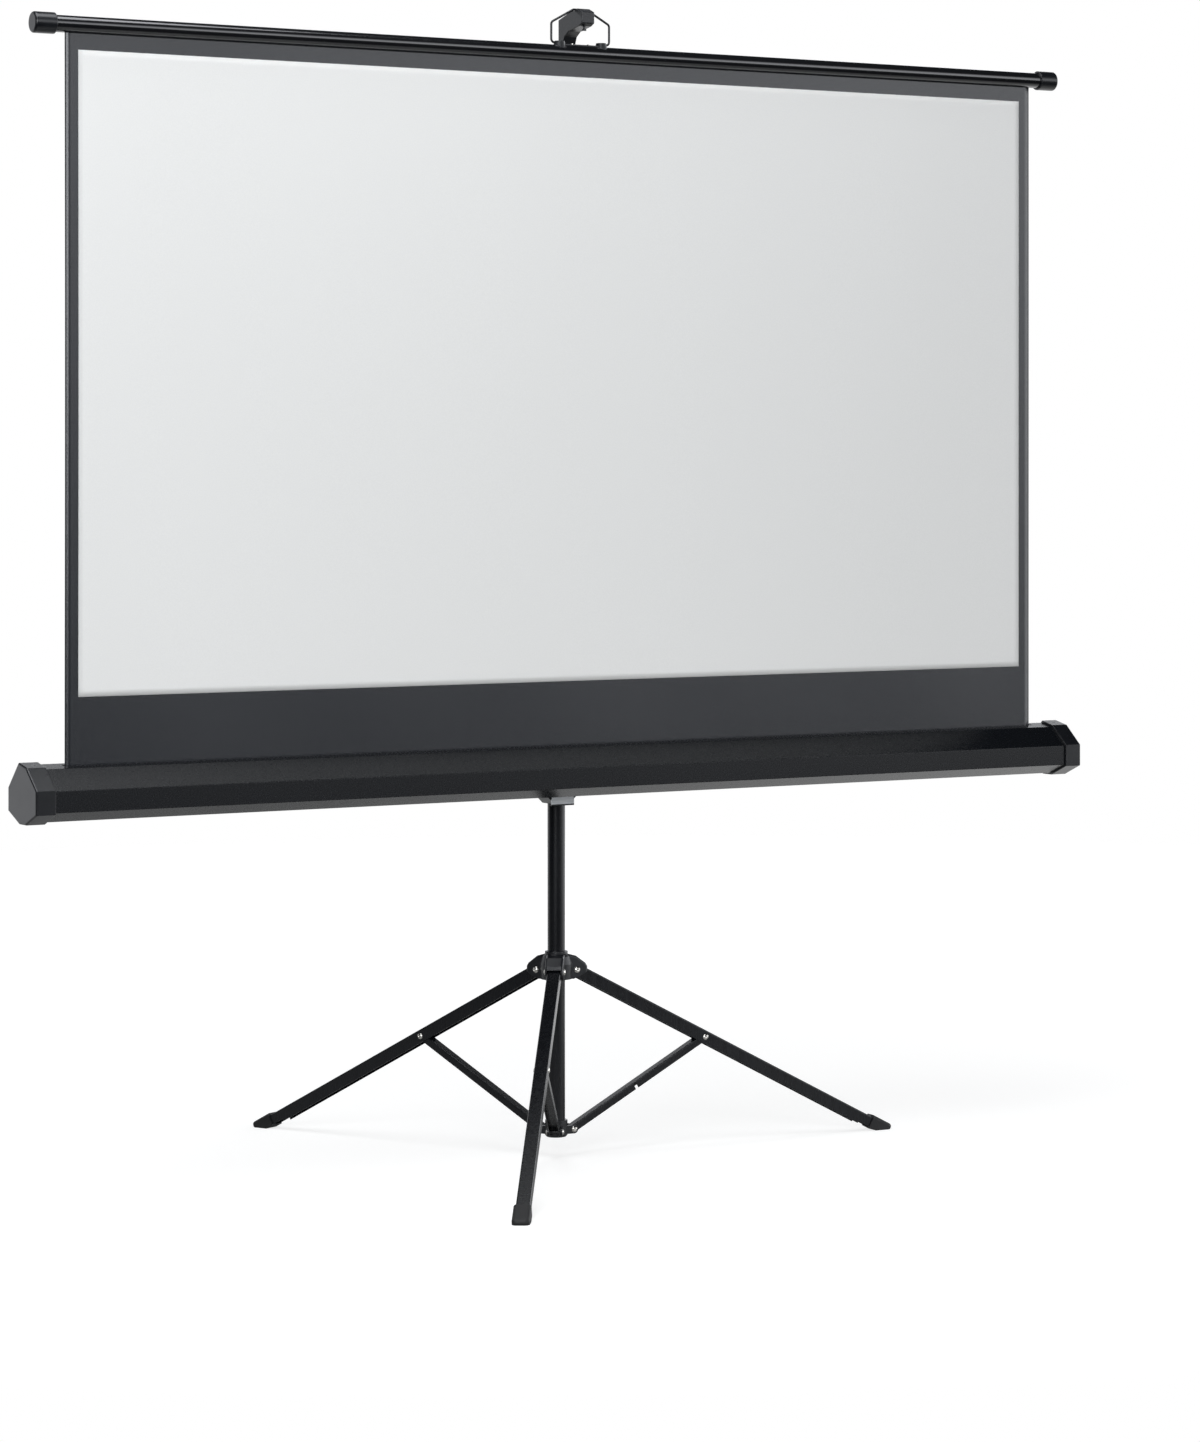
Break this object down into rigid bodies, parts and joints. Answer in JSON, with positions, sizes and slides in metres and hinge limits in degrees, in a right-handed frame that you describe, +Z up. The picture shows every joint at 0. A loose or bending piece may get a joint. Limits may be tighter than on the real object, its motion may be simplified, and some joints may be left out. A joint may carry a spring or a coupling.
{
  "type": "tripod projection screen",
  "caption": "Pull-up projection screen on a folding tripod: white sheet rising from a horizontal casing to a bar hung by a wire bail on a telescopic mast.",
  "frame": {"origin": "on the floor under the middle of the bounding box", "axes": "+X along the screen to the viewer's right, +Y away from the viewers, +Z up"},
  "size_m": [1.467, 0.8316, 1.4304],
  "materials": {
    "casing_paint": "satin charcoal paint",
    "frame_paint": "satin black paint",
    "bar_paint": "gloss black paint",
    "moulding": "satin black moulding",
    "bright_steel": "bright plated",
    "dark_screw": "black oxide",
    "boot_rubber": "matt",
    "screen_cloth": "black coated cloth",
    "screen_white": "matt white"
  },
  "bodies": {
    "tripod_base": {"bottom_collar": "moulding", "collar_rivets": "bright_steel"},
    "hub": {"hub_body": "moulding", "hub_top_ring": "moulding", "hub_leg_bolts": "bright_steel"},
    "mast": {"mast_tube": "frame_paint", "mast_foot_plug": "moulding", "rod_guide": "moulding"},
    "carriage": {"carriage_clamp": "moulding", "carriage_plate": "bright_steel", "casing_back_plate": "bright_steel", "pivot_washer": "bright_steel", "pivot_bolt": "bright_steel", "casing_shell": "casing_paint", "casing_end_cap_left": "moulding", "casing_end_cap_right": "moulding", "end_cap_screws": "dark_screw"},
    "roller": {"roller_tube": "bright_steel", "roller_plug_left": "moulding", "roller_plug_right": "moulding", "roller_spindle": "bright_steel", "roller_spring": "bright_steel", "fabric_wraps": "screen_cloth"},
    "rod": {"extension_rod": "frame_paint", "rod_bush": "moulding", "hook_arm": "moulding", "hook_peg": "bright_steel", "top_bar_tube": "bar_paint", "top_bar_cap_left": "moulding", "top_bar_cap_right": "moulding", "hem_rod": "bright_steel", "screen_sheet": "screen_cloth", "viewing_surface": "screen_white", "bail_ears": "moulding", "bail_ear_screws": "bright_steel"},
    "bail": {"bail_wire": "frame_paint"},
    "hub_knob": {"hub_knob": "moulding"},
    "height_knob": {"height_knob": "moulding"},
    "rod_knob": {"rod_knob": "moulding"},
    "leg_front": {"leg_front": "frame_paint", "foot_front": "boot_rubber", "leg_rivet_front": "bright_steel"},
    "brace_front": {"brace_front": "frame_paint", "brace_pin_front": "bright_steel"},
    "leg_right": {"leg_right": "frame_paint", "foot_right": "boot_rubber", "leg_rivet_right": "bright_steel"},
    "brace_right": {"brace_right": "frame_paint", "brace_pin_right": "bright_steel"},
    "leg_left": {"leg_left": "frame_paint", "foot_left": "boot_rubber", "leg_rivet_left": "bright_steel"},
    "brace_left": {"brace_left": "frame_paint", "brace_pin_left": "bright_steel"}
  },
  "joints": [
    {"name": "tripod_fold", "type": "slide", "parent": "tripod_base", "child": "hub", "axis": [0, 0, 1], "range_m": [0, 0.165]},
    {"name": "leg_front_fold", "type": "hinge", "parent": "hub", "child": "leg_front", "pos_m": [-0.01314, -0.03566, 0.234], "axis": [0.829, -0.5592, 0], "range_deg": [0, 32.88]},
    {"name": "brace_front_fold", "type": "hinge", "parent": "leg_front", "child": "brace_front", "pos_m": [-0.11495, -0.18659, 0.13761], "axis": [0.829, -0.5592, 0], "range_deg": [-64.47, 0]},
    {"name": "leg_right_fold", "type": "hinge", "parent": "hub", "child": "leg_right", "pos_m": [0.02344, -0.01782, 0.234], "axis": [0.0698, 0.9976, 0], "range_deg": [0, 32.88]},
    {"name": "brace_right_fold", "type": "hinge", "parent": "leg_right", "child": "brace_right", "pos_m": [0.20505, -0.03052, 0.13761], "axis": [0.0698, 0.9976, 0], "range_deg": [-64.47, 0]},
    {"name": "leg_left_fold", "type": "hinge", "parent": "hub", "child": "leg_left", "pos_m": [-0.0103, 0.00494, 0.234], "axis": [-0.8988, -0.4384, 0], "range_deg": [0, 32.88]},
    {"name": "brace_left_fold", "type": "hinge", "parent": "leg_left", "child": "brace_left", "pos_m": [-0.09011, 0.16858, 0.13761], "axis": [-0.8988, -0.4384, 0], "range_deg": [-64.47, 0]},
    {"name": "mast_swivel", "type": "hinge", "parent": "tripod_base", "child": "mast", "pos_m": [0, -0.01618, 0.1], "axis": [0, 0, 1], "continuous": true},
    {"name": "height_lift", "type": "slide", "parent": "mast", "child": "carriage", "axis": [0, 0, 1], "range_m": [0, 0.14]},
    {"name": "rod_extend", "type": "slide", "parent": "carriage", "child": "rod", "axis": [0, 0, 1], "range_m": [-0.54, 0], "deforming": ["screen_sheet", "viewing_surface"]},
    {"name": "roller_turn", "type": "hinge", "parent": "carriage", "child": "roller", "pos_m": [0, -0.05998, 0.48925], "axis": [1, 0, 0], "range_deg": [0, 1865]},
    {"name": "bail_swing", "type": "hinge", "parent": "rod", "child": "bail", "pos_m": [0, -0.07718, 1.3869], "axis": [1, 0, 0], "range_deg": [-4, 4]},
    {"name": "hub_knob_turn", "type": "hinge", "parent": "hub", "child": "hub_knob", "pos_m": [0.01398, 0.00455, 0.234], "axis": [0.5592, 0.829, 0], "range_deg": [0, 360]},
    {"name": "height_knob_turn", "type": "hinge", "parent": "carriage", "child": "height_knob", "pos_m": [0, 0.00382, 0.4845], "axis": [0, 1, 0], "range_deg": [0, 360]},
    {"name": "rod_knob_turn", "type": "hinge", "parent": "mast", "child": "rod_knob", "pos_m": [0, 0.00382, 0.805], "axis": [0, 1, 0], "range_deg": [0, 360]}
  ],
  "couplings": [
    {"joint": "leg_front_fold", "follows": "tripod_fold", "rad_per_m": 3.4768},
    {"joint": "brace_front_fold", "follows": "tripod_fold", "rad_per_m": -6.8185},
    {"joint": "leg_right_fold", "follows": "tripod_fold", "rad_per_m": 3.4768},
    {"joint": "brace_right_fold", "follows": "tripod_fold", "rad_per_m": -6.8185},
    {"joint": "leg_left_fold", "follows": "tripod_fold", "rad_per_m": 3.4768},
    {"joint": "brace_left_fold", "follows": "tripod_fold", "rad_per_m": -6.8185},
    {"joint": "roller_turn", "follows": "rod_extend", "rad_per_m": -60.241}
  ]
}
